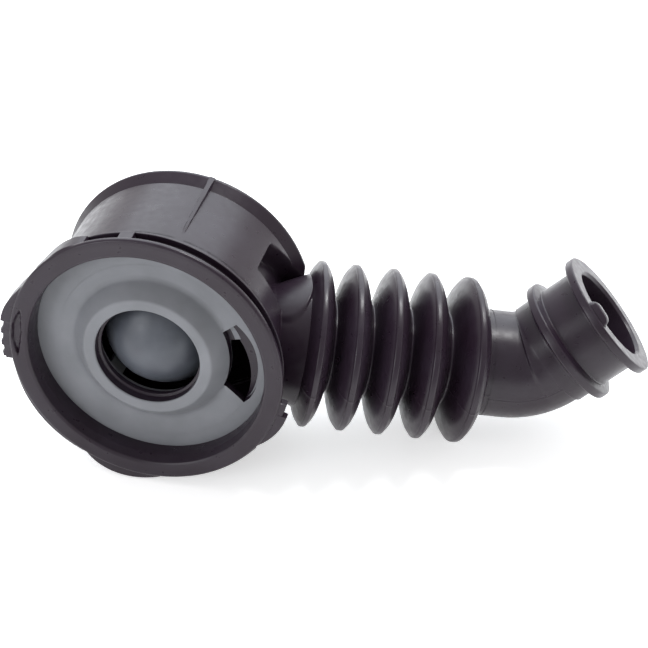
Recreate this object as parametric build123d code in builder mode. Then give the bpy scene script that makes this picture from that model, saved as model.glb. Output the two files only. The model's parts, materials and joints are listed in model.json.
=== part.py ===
from build123d import *
import os
from math import acos, cos, degrees, radians, sin, sqrt

# Moulded rubber hose between a washing drum's tub and its drain pump, with the float
# valve that shuts the tub's mouth.  Millimetres, +Z up, lying on its side on a bench.
# The origin is the middle of the tub mouth's bore.  "Depth" is measured along the boot's
# own axis from the plane of its open lip, "run" along the bellows from that axis.

os.makedirs("parts", exist_ok=True)

# ---- driving dimensions -------------------------------------------------------------
boot_dip = 5.7            # the boot's back end lies this many degrees low

# tub collar
mouth_r = 50.0            # bore that grips the tub's outlet
mouth_length = 6.4
funnel_length = 5.0       # flared lead-in in front of the bore
funnel_flare = 0.8        # how much wider the lead-in's edge is than the bore
crown_width = 1.2         # rolled edge between the lead-in and the lip's face
crown_depth = 0.6
lip_wall = 8.7            # bead round the open end, from the bore out
lip_length = 2.4
lip_round = 1.4
groove_depth = 4.5        # seat of the tub clamp's band, below the lip
groove_width = 6.2
shoulder_rise = 2.8       # from the groove's floor
shoulder_width = 0.8
shoulder_slope = 6.0
collar_spare = 3.6        # plain drum between the seat's ledge and the wall piece

# boot drum
rubber = 2.0              # wall of the boot
boot_length = 64.7
back_cap = 7.4            # length of the closed back's edge
back_step = 0.7
back_step_slope = 0.3
back_step_width = 0.6
back_flare = 1.8          # how far the back's rim stands over the drum
rim_band = 2.0
back_round = 1.0

# ears moulded on the collar: each outline as degrees from +X and rise over the lip
ear_front = 1.0
deep_ear = 7.9            # these bridge the clamp's groove
deep_ears = (
    ((115, -0.4), (121, -0.3), (128, -0.2), (143, -0.3)),
    ((143, -0.3), (152, 0.7), (161, 2.3), (171, 4.3)),
    ((171, 2.5), (180, 2.5), (188, 2.5)),
)
lip_ear = 3.6             # these only thicken the lip
lip_ears = (
    ((-166, 0.7), (-151, 2.9), (-140, 3.1), (-119, 1.5)),
    ((-114, 1.5), (-104, 3.1), (-95, 2.2), (-88, 0.5)),
    ((-84, 0.3), (-60, 0.2), (-38, 0.4)),
    ((-36, 0.3), (-29, 2.5), (-17, 4.0)),
    ((-17, 2.2), (-14, 2.3), (-11, 2.5)),
)
ear_root = 0.4            # how far an ear's foot sinks into the groove's floor
tooth_rise = 4.2          # grip teeth on the left ear, over the lip
tooth_width = 2.4
tooth_angles = (175.5, 181.0, 186.0)
tab_from = 94.0           # small bridge over the groove
tab_to = 100.0
tab_drop = 0.5            # below the lip
tab_lap = 0.1
slit_inset = 3.4          # slit in the lip beside the left ear, from the lip's edge
slit_width = 3.4
slit_from = 163.0
slit_to = 185.0
slit_depth = 3.0

# rib over the drum
rib_angle = 77.0
rib_start = 22.5
rib_height = 2.5
rib_thickness = 2.8

# moulded relief beside the outlet
relief_depth = 9.0
relief_front = 32.5
relief_top = 39.0
relief_bottom = 14.0

# valve seat
seat_thickness = 3.0
seat_snap = 0.9           # depth of the groove that holds the seat
seat_gap = 0.3            # radial slack of the seat in its groove
ledge_thickness = 2.0
ledge_reach = 4.5         # how far the ledge reaches in behind the seat
port_r = 22.4
port_flare = 2.4          # depth of the ball's seat
port_flare_reach = 2.0
nozzle_wall = 11.5        # from the port out, at the seat's face
nozzle_rise = 7.4         # height of the nozzle's rim over the seat's face
nozzle_rim = 4.8          # width of the rim's top
nozzle_edge = 1.4
slot_in_lap = 0.4         # kidney slot: how far it cuts into the nozzle's foot
slot_out_gap = 4.5        # and how far it stays from the seat's edge
slot_step_depth = 2.0     # the slot narrows below this depth
# corners as degrees from +X and share of the way from its inner to its outer edge
slot_top_in = (22.5, 0.02)
slot_top_out = (25.3, 0.54)
slot_belly = (-8.7, 1.0)
slot_low_out = (-24.0, 0.95)
slot_tip = (-28.6, 0.85)
slot_low_in = (-24.0, 0.0)
step_top_in = (12.4, 0.0)
step_top_out = (12.5, 0.36)
step_belly = (-6.9, 0.65)
step_low_out = (-22.8, 0.82)

# float ball and its cage
ball_cover = 3.6          # how much wider the ball is than the port
ball_travel = 6.0
shut_gap = 0.8            # between the risen ball and its seat
cage_gap = 0.6
finger_thickness = 3.0
finger_width = 7.0
finger_count = 4
finger_first = 45.0
hook_behind = 15.0        # from the ball's middle to the hook
hook_thickness = 2.5
hook_gap = 0.3

# bellows
outlet_depth = 26.2       # where the bellows axis meets the boot axis
bellows_swing = 16.85     # towards the boot's back
bellows_droop = 9.2
folds = 5
pitch = 16.24
crest_stand = 10.22       # from the drum's wall to the first crest
crest_r = 35.3
tip_r = 2.3
bellows_wall = 1.8
ring_bore_r = 20.4        # bore of the ring at each fold's root
ring_wall = 2.0
ring_width = 2.2
root_gap = 4.6            # flexing gap between neighbouring rings
waist_slack = 0.3
waist_wall = 1.7
waist_lap = 1.5           # how far the waist reaches past each ring
neck_r = 26.0
neck_wall = 3.0
neck_plate = 2.0
bellows_room = 2.7        # free space round the first crest

# elbow and pump cuff
elbow_bore_r = 20.4
elbow_r = 22.7
elbow_lead = 19.3         # straight run from the last crest to the bend
bend_r = 24.5
cuff_swing = 18.35
cuff_rise = 37.85
cuff_length = 31.7
pump_r = 19.8             # bore that grips the pump's spigot
cuff_r = 23.5
bead_r = 27.9
bead_at = 9.9
bead_round = 2.6
flange_r = 28.1
flange_thickness = 4.0
flange_round = 1.9
mouth_chamfer = 1.25
key_angle = 309.5         # key on the rim, round the cuff from its top
key_width = 11.0
key_rise = 3.0
key_thickness = 6.0
key_lap = 3.0
key_round = 2.6
key_inset = 1.2
nub_r = 1.2               # moulding nub on the flange's edge
nub_rise = 2.6
nub_angle = 86.0

# ---- derived places -----------------------------------------------------------------
mouth_mid = funnel_length + mouth_length / 2
seat_face = funnel_length + mouth_length
seat_back = seat_face + seat_thickness
ledge_back = seat_back + ledge_thickness
collar_length = ledge_back + collar_spare
funnel_r = mouth_r + funnel_flare
lip_r = mouth_r + lip_wall
groove_r = lip_r - groove_depth
shoulder_r = groove_r + shoulder_rise
tooth_r = lip_r + tooth_rise
tab_r = lip_r - tab_drop
slit_r = lip_r - slit_inset
seat_groove_r = mouth_r + seat_snap
seat_r = seat_groove_r - seat_gap
ledge_r = mouth_r - ledge_reach
boot_in_r = mouth_r
boot_r = boot_in_r + rubber
relief_floor_r = boot_r - relief_depth
back_flare_r = boot_r + back_flare
back_neckline = boot_length - back_cap
back_inside = boot_length - rubber
nozzle_r = port_r + nozzle_wall
nozzle_rim_r = port_r + nozzle_rim
port_flare_r = port_r + port_flare_reach
slot_in_r = nozzle_r - slot_in_lap
slot_out_r = seat_r - slot_out_gap
ball_r = port_r + ball_cover
shut_rise = sqrt(ball_r**2 - port_r**2)
ball_depth = seat_back - port_flare + shut_rise + shut_gap + ball_travel
first_crest = boot_r + crest_stand
ring_r = ring_bore_r + ring_wall
waist_r = ring_bore_r - waist_slack
waist_length = root_gap + 2 * (ring_width + waist_lap)


def boot_way(x, depth, z):
    """Bench direction of a vector given across, along and above the boot's axis."""
    dip = radians(boot_dip)
    return Vector(x, depth * cos(dip) + z * sin(dip), z * cos(dip) - depth * sin(dip))


def heading(swing, rise):
    """Unit vector that leaves the boot's side, swung to its back and raised."""
    s, r = radians(swing), radians(rise)
    return boot_way(cos(s) * cos(r), sin(s) * cos(r), sin(r))


across = boot_way(1, 0, 0)
inward = boot_way(0, 1, 0)
above = boot_way(0, 0, 1)
lip_centre = inward * -mouth_mid


def section(origin, radial, along):
    """Plane whose x is a radius and whose y is the axis of a turned piece."""
    return Plane(origin=origin, x_dir=radial, z_dir=radial.cross(along))


def boot_face(depth):
    """Plane across the boot at a depth, facing out of its mouth, x across and y up."""
    return Plane(origin=lip_centre + inward * depth, x_dir=across, z_dir=inward * -1)


def boot_meridian(angle):
    """Section plane through the boot's axis at an angle from +X."""
    a = radians(angle)
    return section(lip_centre, across * cos(a) + above * sin(a), inward)


boot_section = boot_meridian(0)
boot_axis = Axis(lip_centre, inward)
outward_axis = Axis(lip_centre, inward * -1)

hose_way = heading(bellows_swing, -bellows_droop)
hose_start = lip_centre + inward * outlet_depth
hose_up = (above - hose_way * above.dot(hose_way)).normalized()
hose_section = section(hose_start, hose_up, hose_way)
hose_axis = Axis(hose_start, hose_way)
crests = [first_crest + pitch * n for n in range(folds)]
roots = [first_crest + pitch * (n - 0.5) for n in range(folds + 1)]
neck_end = roots[0] - root_gap / 2
elbow_start = roots[-1] + root_gap / 2
bend_start = crests[-1] + elbow_lead

cuff_way = heading(cuff_swing, cuff_rise)
bend_point = hose_start + hose_way * bend_start
bend_side = (cuff_way - hose_way * cuff_way.dot(hose_way)).normalized()
bend_angle = acos(cuff_way.dot(hose_way))
cuff_start = bend_point + bend_side * (bend_r * (1 - cos(bend_angle))) + hose_way * (
    bend_r * sin(bend_angle)
)
cuff_up = (above - cuff_way * above.dot(cuff_way)).normalized()
cuff_side = cuff_up.cross(cuff_way)
cuff_section = section(cuff_start, cuff_up, cuff_way)
cuff_axis = Axis(cuff_start, cuff_way)


def hose_face(run):
    """Plane across the bellows at a run, facing along it."""
    return Plane(origin=hose_start + hose_way * run, x_dir=hose_up, z_dir=hose_way)


def polar(radius, angle):
    """Point across and above the boot's axis at a radius and an angle from +X."""
    return (radius * cos(radians(angle)), radius * sin(radians(angle)))


def slot_corner(corner):
    """Point of the slot from its angle and its share of the way across the slot."""
    angle, share = corner
    return polar(slot_in_r + (slot_out_r - slot_in_r) * share, angle)


def rib_top(depth):
    """Radius of the drum rib's edge, rising evenly towards the back."""
    return boot_r + rib_height * (depth - rib_start) / (boot_length - rib_start)


# ---- boot outlines --------------------------------------------------------------------
back_in = (
    (boot_in_r, back_neckline),
    (boot_in_r - rubber, back_inside),
    (0, back_inside),
)
back_out = (
    (boot_r, back_neckline),
    (boot_r - back_step, back_neckline + back_step_slope),
    (boot_r - back_step, back_neckline + back_step_slope + back_step_width),
    (back_flare_r, boot_length - rim_band),
    (back_flare_r, boot_length - back_round),
    (back_flare_r - back_round, boot_length),
    (0, boot_length),
)
# solid outline of the drum and its back, used to trim the outlet
with BuildPart() as drum_block:
    with BuildSketch(boot_section):
        with BuildLine():
            Polyline((0, collar_length), (boot_r, collar_length), *back_out, close=True)
        make_face()
    revolve(axis=boot_axis)

wall_angle = degrees(rubber / boot_in_r)

# water space inside the drum, narrowed behind the moulded relief
with BuildPart() as chamber:
    with BuildSketch(boot_section):
        with BuildLine():
            Polyline(
                (0, 0),
                (seat_groove_r + rubber / 2, 0),
                (seat_groove_r + rubber / 2, ledge_back),
                (boot_in_r, ledge_back),
                *back_in,
                close=True,
            )
        make_face()
    revolve(axis=boot_axis)
    with BuildSketch(boot_meridian(relief_bottom - wall_angle)):
        with BuildLine():
            Polyline(
                (relief_floor_r - rubber, relief_front - rubber),
                (boot_r, relief_front - rubber),
                (boot_r, back_neckline),
                (relief_floor_r - rubber, back_neckline),
                close=True,
            )
        make_face()
    revolve(
        axis=outward_axis,
        revolution_arc=relief_top - relief_bottom + 2 * wall_angle,
        mode=Mode.SUBTRACT,
    )
    split(bisect_by=hose_face(neck_end - neck_plate), keep=Keep.BOTTOM)

# ---- outlet neck --------------------------------------------------------------------
with BuildPart() as outlet_neck:
    with BuildSketch(hose_face(neck_end)):
        Circle(crest_r + bellows_room)
    extrude(amount=-neck_plate)
    add(drum_block.part, mode=Mode.INTERSECT)
    with BuildSketch(hose_face(neck_end)):
        Circle(neck_r)
    extrude(amount=-neck_r)
    with BuildSketch(hose_face(neck_end)):
        Circle(ring_bore_r)
    extrude(amount=-ring_width, mode=Mode.SUBTRACT)
    with BuildSketch(hose_face(neck_end - ring_width)):
        Circle(neck_r - neck_wall)
    extrude(amount=-neck_r, mode=Mode.SUBTRACT)
    add(chamber.part, mode=Mode.SUBTRACT)
outlet_neck.part.label = "outlet_neck"
export_step(outlet_neck.part, "parts/outlet_neck.step")

# spaces kept free for the outlet's bore and for the first fold
with BuildPart() as outlet_bore:
    with BuildSketch(hose_face(neck_end)):
        Circle(neck_r - neck_wall)
    extrude(amount=-neck_r)

with BuildPart() as fold_room:
    with BuildSketch(hose_face(neck_end)):
        Circle(crest_r + bellows_room)
    extrude(amount=2 * pitch)

# ---- tub collar ---------------------------------------------------------------------
with BuildPart() as tub_collar:
    with BuildSketch(boot_section):
        with BuildLine():
            front = Line((mouth_r, seat_face), (mouth_r, funnel_length))
            flare = Line(front @ 1, (funnel_r, crown_depth))
            crown = ThreePointArc(
                flare @ 1,
                (funnel_r + crown_width * 0.38, crown_depth * 0.25),
                (funnel_r + crown_width, 0),
            )
            face = Line(crown @ 1, (lip_r - lip_round, 0))
            bead = RadiusArc(face @ 1, (lip_r, lip_round), -lip_round)
            Polyline(
                bead @ 1,
                (lip_r, lip_length),
                (groove_r, lip_length),
                (groove_r, lip_length + groove_width),
                (shoulder_r, lip_length + groove_width),
                (shoulder_r, lip_length + groove_width + shoulder_width),
                (boot_r, lip_length + groove_width + shoulder_width + shoulder_slope),
                (boot_r, collar_length),
                (boot_in_r, collar_length),
                (boot_in_r, ledge_back),
                (ledge_r, ledge_back),
                (ledge_r, seat_back),
                (seat_groove_r, seat_back),
                (seat_groove_r, seat_face),
                front @ 0,
            )
        make_face()
    revolve(axis=boot_axis)
    for ear_set, thick in ((deep_ears, deep_ear), (lip_ears, lip_ear)):
        for ear in ear_set:
            outline = [polar(lip_r + rise, angle) for angle, rise in ear]
            foot = groove_r - ear_root
            start, end = ear[0][0], ear[-1][0]
            middle = (start + end) / 2
            with BuildSketch(boot_face(ear_front + thick)):
                with BuildLine():
                    Spline(*outline)
                    Line(outline[-1], polar(foot, end))
                    ThreePointArc(
                        polar(foot, end), polar(foot, middle), polar(foot, start)
                    )
                    Line(polar(foot, start), outline[0])
                make_face()
            extrude(amount=thick)
    for angle in tooth_angles:
        with BuildSketch(boot_meridian(angle)):
            with Locations(((tooth_r + groove_r) / 2, ear_front + deep_ear / 2)):
                Rectangle(tooth_r - groove_r, deep_ear)
        extrude(amount=tooth_width / 2, both=True)
    with BuildSketch(boot_meridian(tab_from)):
        with Locations(((tab_r + groove_r - ear_root) / 2, lip_length + groove_width / 2)):
            Rectangle(tab_r - groove_r + ear_root, groove_width + 2 * tab_lap)
    revolve(axis=outward_axis, revolution_arc=tab_to - tab_from)
    with BuildSketch(boot_meridian(slit_from)):
        with Locations((slit_r, 0)):
            Rectangle(slit_width, 2 * slit_depth)
    revolve(axis=outward_axis, revolution_arc=slit_to - slit_from, mode=Mode.SUBTRACT)
    add(outlet_bore.part, mode=Mode.SUBTRACT)
    add(outlet_neck.part, mode=Mode.SUBTRACT)
tub_collar.part.label = "tub_collar"
export_step(tub_collar.part, "parts/tub_collar.step")

# ---- boot drum ----------------------------------------------------------------------
with BuildPart() as boot_wall:
    with BuildSketch(boot_section):
        with BuildLine():
            Polyline(
                (boot_in_r, collar_length),
                (boot_r, collar_length),
                (boot_r, back_neckline),
                (boot_in_r, back_neckline),
                close=True,
            )
        make_face()
    revolve(axis=boot_axis)
    with BuildSketch(boot_meridian(relief_bottom - wall_angle)):
        with BuildLine():
            Polyline(
                (relief_floor_r - rubber, relief_front - rubber),
                (boot_in_r, relief_front - rubber),
                (boot_in_r, back_neckline),
                (relief_floor_r - rubber, back_neckline),
                close=True,
            )
        make_face()
    revolve(
        axis=outward_axis, revolution_arc=relief_top - relief_bottom + 2 * wall_angle
    )
    with BuildSketch(boot_meridian(relief_bottom)):
        with BuildLine():
            Polyline(
                (relief_floor_r, relief_front),
                (boot_r + rubber, relief_front),
                (boot_r + rubber, back_neckline - rubber),
                (relief_floor_r, back_neckline - rubber),
                close=True,
            )
        make_face()
    revolve(
        axis=outward_axis,
        revolution_arc=relief_top - relief_bottom,
        mode=Mode.SUBTRACT,
    )
    with BuildSketch(boot_meridian(rib_angle)):
        with BuildLine():
            Polyline(
                (boot_r - rubber / 2, rib_start),
                (rib_top(rib_start), rib_start),
                (rib_top(back_neckline), back_neckline),
                (boot_r - rubber / 2, back_neckline),
                close=True,
            )
        make_face()
    extrude(amount=rib_thickness / 2, both=True)
    add(outlet_bore.part, mode=Mode.SUBTRACT)
    add(fold_room.part, mode=Mode.SUBTRACT)
    add(outlet_neck.part, mode=Mode.SUBTRACT)
boot_wall.part.label = "boot_wall"
export_step(boot_wall.part, "parts/boot_wall.step")

with BuildPart() as boot_back:
    with BuildSketch(boot_section):
        with BuildLine():
            Polyline(*back_in, *reversed(back_out), close=True)
        make_face()
    revolve(axis=boot_axis)
    with BuildSketch(boot_meridian(rib_angle)):
        with BuildLine():
            Polyline(
                (boot_r - back_step - rubber / 2, back_neckline),
                (rib_top(back_neckline), back_neckline),
                (rib_top(boot_length - back_round), boot_length - back_round),
                (boot_r - back_step - rubber / 2, boot_length - back_round),
                close=True,
            )
        make_face()
    extrude(amount=rib_thickness / 2, both=True)
    add(outlet_bore.part, mode=Mode.SUBTRACT)
    add(fold_room.part, mode=Mode.SUBTRACT)
    add(outlet_neck.part, mode=Mode.SUBTRACT)
boot_back.part.label = "boot_back"
export_step(boot_back.part, "parts/boot_back.step")

# ---- bellows ------------------------------------------------------------------------
for n in range(folds):
    with BuildPart() as fold:
        with BuildSketch(hose_section):
            with BuildLine():
                crest = crests[n]
                tip = crest_r - tip_r
                ring = pitch / 2 - root_gap / 2
                flank = ring - ring_width
                tip_in = tip_r - bellows_wall
                Polyline(
                    (tip + tip_r / 5, crest - tip_r * 0.96),
                    (ring_r, crest - ring),
                    (ring_bore_r, crest - ring),
                    (ring_bore_r, crest - flank),
                    (tip, crest - tip_in),
                )
                ThreePointArc(
                    (tip, crest - tip_in), (tip + tip_in, crest), (tip, crest + tip_in)
                )
                Polyline(
                    (tip, crest + tip_in),
                    (ring_bore_r, crest + flank),
                    (ring_bore_r, crest + ring),
                    (ring_r, crest + ring),
                    (tip + tip_r / 5, crest + tip_r * 0.96),
                )
                ThreePointArc(
                    (tip + tip_r / 5, crest + tip_r * 0.96),
                    (crest_r, crest),
                    (tip + tip_r / 5, crest - tip_r * 0.96),
                )
            make_face()
        revolve(axis=hose_axis)
    fold.part.label = f"bellows_fold_{n + 1}"
    export_step(fold.part, f"parts/bellows_fold_{n + 1}.step")

for n in range(folds + 1):
    with BuildPart() as waist:
        with BuildSketch(hose_face(roots[n] - waist_length / 2)):
            Circle(waist_r)
            Circle(waist_r - waist_wall, mode=Mode.SUBTRACT)
        extrude(amount=waist_length)
    waist.part.label = f"waist_band_{n + 1}"
    export_step(waist.part, f"parts/waist_band_{n + 1}.step")

# ---- elbow and pump cuff ------------------------------------------------------------
with BuildPart() as elbow:
    with BuildSketch(hose_face(elbow_start)):
        Circle(elbow_r)
        Circle(elbow_bore_r, mode=Mode.SUBTRACT)
    extrude(amount=bend_start - elbow_start)
    with BuildSketch(hose_face(bend_start)):
        Circle(elbow_r)
        Circle(elbow_bore_r, mode=Mode.SUBTRACT)
    revolve(
        axis=Axis(bend_point + bend_side * bend_r, hose_way.cross(bend_side)),
        revolution_arc=degrees(bend_angle),
    )
elbow.part.label = "elbow"
export_step(elbow.part, "parts/elbow.step")

with BuildPart() as pump_cuff:
    with BuildSketch(cuff_section):
        with BuildLine():
            flange_back = cuff_length - flange_thickness
            bead_r_mid = bead_r - bead_round
            Polyline(
                (cuff_r, bead_at - bead_round),
                (cuff_r, 0),
                (pump_r, 0),
                (pump_r, cuff_length - mouth_chamfer),
                (pump_r + mouth_chamfer, cuff_length),
                (flange_r - flange_round, cuff_length),
            )
            ThreePointArc(
                (flange_r - flange_round, cuff_length),
                (flange_r, cuff_length - flange_thickness / 2),
                (flange_r - flange_round, flange_back),
            )
            Polyline(
                (flange_r - flange_round, flange_back),
                (cuff_r, flange_back),
                (cuff_r, bead_at + bead_round),
                (bead_r_mid, bead_at + bead_round),
            )
            ThreePointArc(
                (bead_r_mid, bead_at + bead_round),
                (bead_r, bead_at),
                (bead_r_mid, bead_at - bead_round),
            )
            Line((bead_r_mid, bead_at - bead_round), (cuff_r, bead_at - bead_round))
        make_face()
    revolve(axis=cuff_axis)
    key_out = cuff_up * cos(radians(key_angle)) + cuff_side * sin(radians(key_angle))
    with BuildSketch(
        Plane(
            origin=cuff_start
            + cuff_way * (cuff_length + (key_rise - key_lap) / 2)
            + key_out * (pump_r + key_inset),
            x_dir=cuff_way,
            z_dir=key_out,
        )
    ):
        RectangleRounded(key_rise + key_lap, key_width, key_round)
    extrude(amount=key_thickness)
    nub_out = cuff_up * cos(radians(nub_angle)) + cuff_side * sin(radians(nub_angle))
    with BuildSketch(
        Plane(
            origin=cuff_start
            + cuff_way * (cuff_length - flange_thickness / 2)
            + nub_out * (flange_r - nub_rise),
            x_dir=cuff_way,
            z_dir=nub_out,
        )
    ):
        Circle(nub_r)
    extrude(amount=2 * nub_rise)
pump_cuff.part.label = "pump_cuff"
export_step(pump_cuff.part, "parts/pump_cuff.step")

# ---- valve seat ---------------------------------------------------------------------
with BuildPart() as valve_seat:
    with BuildSketch(boot_section):
        with BuildLine():
            nozzle_top = seat_face - nozzle_rise
            Polyline(
                (port_r, nozzle_top + nozzle_edge),
                (port_r, seat_back - port_flare),
                (port_flare_r, seat_back),
                (seat_r, seat_back),
                (seat_r, seat_face),
                (nozzle_r, seat_face),
                (nozzle_rim_r, nozzle_top),
                (port_r + nozzle_edge, nozzle_top),
            )
            ThreePointArc(
                (port_r + nozzle_edge, nozzle_top),
                (port_r + nozzle_edge * 0.3, nozzle_top + nozzle_edge * 0.3),
                (port_r, nozzle_top + nozzle_edge),
            )
        make_face()
    revolve(axis=boot_axis)
    with BuildSketch(boot_face(seat_face + slot_step_depth)):
        with BuildLine():
            top_in, top_out, belly, low_out, tip_end, low_in = [
                slot_corner(corner)
                for corner in (
                    slot_top_in,
                    slot_top_out,
                    slot_belly,
                    slot_low_out,
                    slot_tip,
                    slot_low_in,
                )
            ]
            Line(top_in, top_out)
            ThreePointArc(top_out, belly, low_out)
            Line(low_out, tip_end)
            Line(tip_end, low_in)
            ThreePointArc(low_in, (slot_in_r, 0), top_in)
        make_face()
    extrude(amount=slot_step_depth + nozzle_edge, mode=Mode.SUBTRACT)
    with BuildSketch(boot_face(seat_back + 1)):
        with BuildLine():
            top_in, top_out, belly, low_out = [
                slot_corner(corner)
                for corner in (step_top_in, step_top_out, step_belly, step_low_out)
            ]
            Line(top_in, top_out)
            ThreePointArc(top_out, belly, low_out)
            Line(low_out, tip_end)
            Line(tip_end, low_in)
            ThreePointArc(low_in, (slot_in_r, 0), top_in)
        make_face()
    extrude(amount=seat_thickness + 1, mode=Mode.SUBTRACT)
    hook_front = ball_depth + hook_behind
    hook_end = hook_front + hook_thickness
    hook_in_r = sqrt((ball_r + hook_gap) ** 2 - hook_behind**2)
    finger_in_r = ball_r + cage_gap
    for n in range(finger_count):
        with BuildSketch(boot_meridian(finger_first + n * 360 / finger_count)):
            with BuildLine():
                Polyline(
                    (finger_in_r, seat_back - seat_thickness / 3),
                    (finger_in_r + finger_thickness, seat_back - seat_thickness / 3),
                    (finger_in_r + finger_thickness, hook_end),
                    (hook_in_r, hook_end),
                    (hook_in_r, hook_front),
                    (finger_in_r, hook_front),
                    close=True,
                )
            make_face()
        extrude(amount=finger_width / 2, both=True)
valve_seat.part.label = "valve_seat"
export_step(valve_seat.part, "parts/valve_seat.step")

with BuildPart() as float_ball:
    with BuildSketch(boot_section):
        with BuildLine():
            Line((0, ball_depth - ball_r), (0, ball_depth + ball_r))
            ThreePointArc(
                (0, ball_depth + ball_r), (ball_r, ball_depth), (0, ball_depth - ball_r)
            )
        make_face()
    revolve(axis=boot_axis)
float_ball.part.label = "float_ball"
export_step(float_ball.part, "parts/float_ball.step")
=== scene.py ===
# %% [markdown]
# This lesson dresses a washing machine's tub-to-pump hose.  The real one has three
# pieces: a black rubber moulding, a grey plastic valve seat that snaps into its wide
# mouth, and a float ball behind the seat.  The solids in the frame already hold the
# sizes and the joints, so nothing here is placed by eye: each skin is worked out about
# an axis that the frame gives, and stands in for a plainer solid.

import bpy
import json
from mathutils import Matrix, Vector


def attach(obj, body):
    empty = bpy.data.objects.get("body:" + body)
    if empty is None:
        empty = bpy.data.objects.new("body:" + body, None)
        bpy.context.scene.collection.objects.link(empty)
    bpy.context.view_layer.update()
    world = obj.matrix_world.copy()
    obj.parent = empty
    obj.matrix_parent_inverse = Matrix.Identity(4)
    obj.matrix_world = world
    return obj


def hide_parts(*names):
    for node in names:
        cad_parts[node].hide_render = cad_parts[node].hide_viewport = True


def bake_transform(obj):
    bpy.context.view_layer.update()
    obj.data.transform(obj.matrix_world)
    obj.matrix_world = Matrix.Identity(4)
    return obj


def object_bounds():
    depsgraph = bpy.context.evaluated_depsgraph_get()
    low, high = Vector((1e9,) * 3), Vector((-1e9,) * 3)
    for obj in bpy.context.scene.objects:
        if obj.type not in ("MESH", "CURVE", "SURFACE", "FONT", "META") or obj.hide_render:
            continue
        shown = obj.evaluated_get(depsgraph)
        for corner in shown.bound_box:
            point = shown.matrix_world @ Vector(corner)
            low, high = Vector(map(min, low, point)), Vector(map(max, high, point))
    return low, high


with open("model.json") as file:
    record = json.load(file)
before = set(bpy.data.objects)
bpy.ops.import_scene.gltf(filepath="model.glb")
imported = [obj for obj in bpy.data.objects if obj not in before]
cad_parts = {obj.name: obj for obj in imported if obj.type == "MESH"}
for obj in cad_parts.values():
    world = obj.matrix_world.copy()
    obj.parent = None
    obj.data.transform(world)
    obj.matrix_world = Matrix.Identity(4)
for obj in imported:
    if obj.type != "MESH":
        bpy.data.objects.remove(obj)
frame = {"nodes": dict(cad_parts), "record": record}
cad_box = [list(corner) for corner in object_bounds()]

import json
import math

import bmesh
import bpy
import numpy as np
from mathutils import Matrix, Vector

# %% [markdown]
# A moulded hose is a chain of turned forms, so three straight axes carry nearly all of
# it.  They could be typed in, but then a change to the solids would leave the skins
# behind, so they are read from the record's mounts and joints.  Sizes are in
# millimetres.  "Depth" runs along the boot from its open lip, "run" along the hose from
# the boot's axis, and "reach" along the cuff from its foot.

# %% Directions
MM = 0.001
record = frame["record"]
mounts = {mount["name"]: mount for mount in record["mounts"]}
joints = {joint["name"]: joint for joint in record["behaviour"]["joints"]}


def unit(v):
    """v / |v|"""
    return np.asarray(v, float) / np.linalg.norm(v)


def square_to(v, axis):
    """Unit part of v square to axis: (v - (v.axis) axis) / |...|"""
    return unit(v - axis * (v @ axis))


# %% Axis of the boot
lip_to_bore = 8.2
inward = unit(-np.array(mounts["tub_mouth"]["axis"]))
above = square_to(np.array([0.0, 0.0, 1.0]), inward)
across = np.cross(inward, above)
lip_centre = np.array(mounts["tub_mouth"]["pos_m"]) / MM - inward * lip_to_bore


def boot_place(r, angle, depth):
    """lip + depth inward + r (cos a across + sin a above), angle in degrees."""
    r, a, d = np.broadcast_arrays(r, np.radians(angle), depth)
    radial = np.cos(a)[..., None] * across + np.sin(a)[..., None] * above
    return lip_centre + d[..., None] * inward + r[..., None] * radial


print("lip", lip_centre, "inward", inward)

# %% Axes of the hose and the cuff
first_hinge_run = 50.7
hose_way = unit(joints["stretch_1"]["axis"])
hose_up = square_to(above, hose_way)
hose_side = np.cross(hose_up, hose_way)
hose_start = np.array(joints["side_bend_1"]["pos_m"]) / MM - hose_way * first_hinge_run

half_grip = 15.225
cuff_way = unit(mounts["pump_mouth"]["axis"])
cuff_up = square_to(above, cuff_way)
cuff_side = np.cross(cuff_up, cuff_way)
cuff_start = np.array(mounts["pump_mouth"]["pos_m"]) / MM - cuff_way * half_grip


def turned_place(start, way, up, side, r, angle, along):
    """start + along way + r (cos a up + sin a side), angle in degrees."""
    r, a, s = np.broadcast_arrays(r, np.radians(angle), along)
    radial = np.cos(a)[..., None] * up + np.sin(a)[..., None] * side
    return start + s[..., None] * way + r[..., None] * radial


def hose_place(r, angle, run):
    """A point round the hose axis, `run` mm from the boot's axis."""
    return turned_place(hose_start, hose_way, hose_up, hose_side, r, angle, run)


def cuff_place(r, angle, reach):
    """A point round the cuff axis, `reach` mm from the cuff's foot."""
    return turned_place(cuff_start, cuff_way, cuff_up, cuff_side, r, angle, reach)


print("hose", hose_start, "cuff", cuff_start)

# %% [markdown]
# Rubber and plastic come out of a mould as smooth skins with a few crisp edges.  Such a
# skin could be carved from primitives with modifiers; a grid of points from a formula
# gives even quads and closed seams, and keeps every size a named value.  So one helper
# turns a grid of points into a mesh, and another rounds the corners of a section, as
# the mould maker's cutter does.

# %% A skin from a grid of points
crisp_angle = math.radians(38)


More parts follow.
